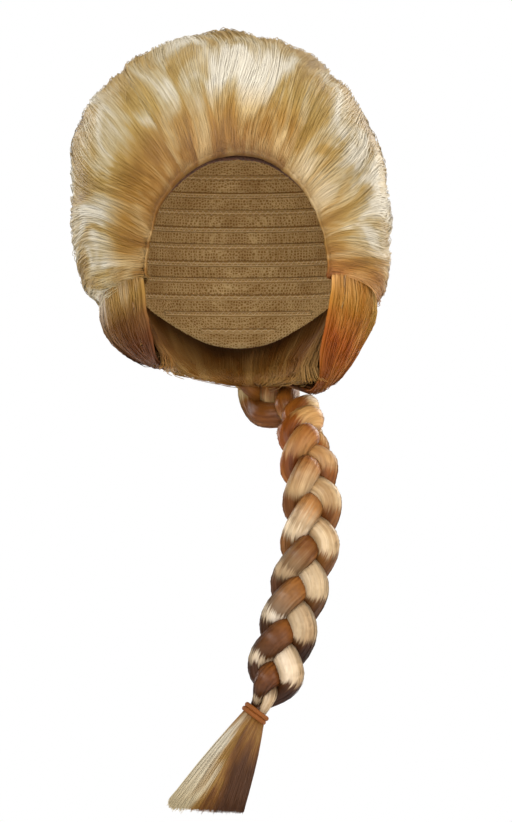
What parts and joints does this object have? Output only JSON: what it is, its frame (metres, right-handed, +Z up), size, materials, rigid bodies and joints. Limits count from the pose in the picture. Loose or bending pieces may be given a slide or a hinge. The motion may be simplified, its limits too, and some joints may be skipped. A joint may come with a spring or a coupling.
{
  "type": "braided costume wig",
  "caption": "Blonde costume wig with high swept-back hair on a net cap and a long braid brought forward over one shoulder, ending in an elastic tie and a loose tuft.",
  "frame": {"origin": "highest point inside the cap, where it rests on the crown of the head", "axes": "+Z up as worn, -Y towards the front where the face opening is, +X towards the wearer's left, where the braid lies"},
  "size_m": [0.2156, 0.2178, 0.509],
  "materials": {
    "hair_fibre": "glossy synthetic hair fibre, brushed back in soft locks",
    "braid_fibre": "glossy synthetic hair fibre, combed straight and plaited",
    "cap_net": "knitted net with sewn wefts",
    "hem_elastic": "woven elastic binding",
    "tie_elastic": "thread-covered elastic band"
  },
  "bodies": {
    "root": {"wig_cap": "cap_net", "cap_hem": "hem_elastic", "hair_top": "hair_fibre", "hair_swell_right": "hair_fibre", "hair_swell_left": "hair_fibre", "hair_side_right": "hair_fibre", "hair_side_left": "hair_fibre", "braid_strand_1": "braid_fibre", "braid_strand_2": "braid_fibre", "braid_strand_3": "braid_fibre", "hair_tie": "tie_elastic", "tail_tuft": "braid_fibre"}
  },
  "joints": []
}
